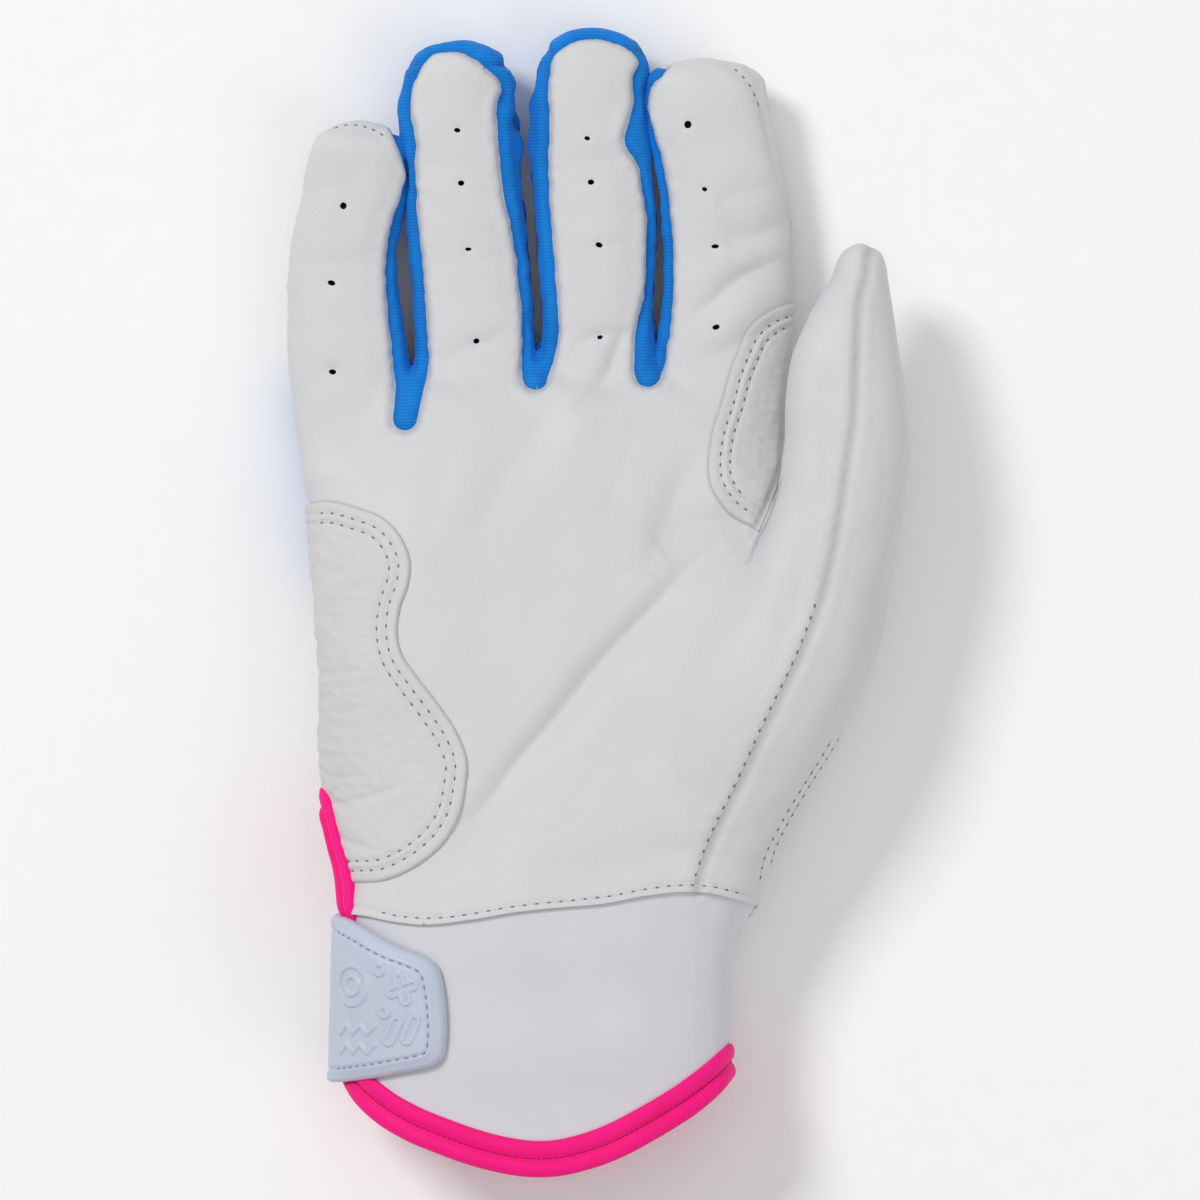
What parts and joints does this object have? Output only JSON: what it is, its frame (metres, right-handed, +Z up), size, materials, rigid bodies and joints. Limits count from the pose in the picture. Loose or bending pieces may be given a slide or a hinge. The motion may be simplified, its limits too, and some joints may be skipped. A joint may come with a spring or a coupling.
{
  "type": "batting glove",
  "caption": "Right-hand batting glove in white leather with blue stretch gussets, a bound cuff and a wrist closure tab, lying palm up.",
  "frame": {"origin": "middle of the glove's bounding box, at the surface that its back lies on", "axes": "+X to the thumb side, +Y to the fingertips, +Z up out of the palm"},
  "size_m": [0.131, 0.2416, 0.0427],
  "materials": {
    "white_leather": "matte",
    "patch_leather": "matte",
    "blue_stretch": "matte",
    "pink_tape": "matte",
    "cuff_fabric": "matte",
    "tab_rubber": "satin",
    "elastic": "matte",
    "hook_and_loop": "matte"
  },
  "bodies": {
    "glove": {"palm_leather": "white_leather", "thumb_outer": "white_leather", "heel_patch": "patch_leather", "crotch_patch": "patch_leather", "gusset_little_ring": "blue_stretch", "gusset_ring_middle": "blue_stretch", "gusset_middle_index": "blue_stretch", "back_little": "white_leather", "back_ring": "blue_stretch", "back_middle": "blue_stretch", "back_index": "white_leather", "knuckle_panel": "blue_stretch", "back_leather": "white_leather", "wrist_elastic": "elastic", "cuff_palm": "cuff_fabric", "cuff_back": "cuff_fabric", "edge_binding": "pink_tape", "loop_pad": "hook_and_loop", "strap": "elastic"},
    "closure_tab": {"strap_tab": "tab_rubber", "hook_pad": "hook_and_loop"}
  },
  "joints": [
    {"name": "tab_peel", "type": "hinge", "parent": "glove", "child": "closure_tab", "pos_m": [-0.0567, -0.0834, 0.0203], "axis": [0, -1, 0], "range_deg": [0, 140]}
  ]
}
